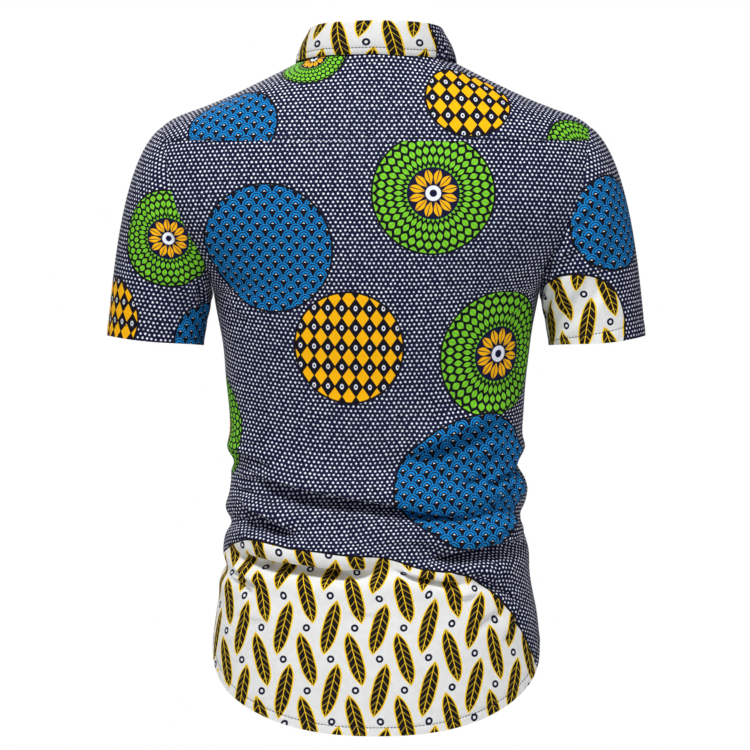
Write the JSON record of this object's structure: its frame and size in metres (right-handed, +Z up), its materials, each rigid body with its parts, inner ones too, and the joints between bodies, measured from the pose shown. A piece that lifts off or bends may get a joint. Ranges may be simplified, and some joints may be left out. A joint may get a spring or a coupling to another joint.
{
  "type": "short-sleeve shirt",
  "caption": "Short-sleeve shirt in a printed cloth with a turn-down collar, back yoke, buttoned front and rounded tails, filled out as if worn.",
  "frame": {"origin": "middle of the neckline, level with the collar's lower edge at the centre back, where the wearer carries the shirt", "axes": "+Z up, +Y the way that the wearer faces, +X towards the wearer's right"},
  "size_m": [0.5694, 0.2443, 0.7532],
  "materials": {
    "printed_cloth": "smooth plain weave with an all-over print",
    "pale_cloth": "smooth plain weave, pale part of the print",
    "button_shell": "polished, four holes"
  },
  "bodies": {
    "root": {"back": "printed_cloth", "yoke": "printed_cloth", "front_left": "printed_cloth", "front_right": "printed_cloth", "sleeve_left": "printed_cloth", "sleeve_right": "printed_cloth", "collar_stand": "pale_cloth", "collar_leaf": "pale_cloth", "button_1": "button_shell", "button_2": "button_shell", "button_3": "button_shell", "button_4": "button_shell", "button_5": "button_shell", "button_6": "button_shell", "button_7": "button_shell"}
  },
  "joints": []
}
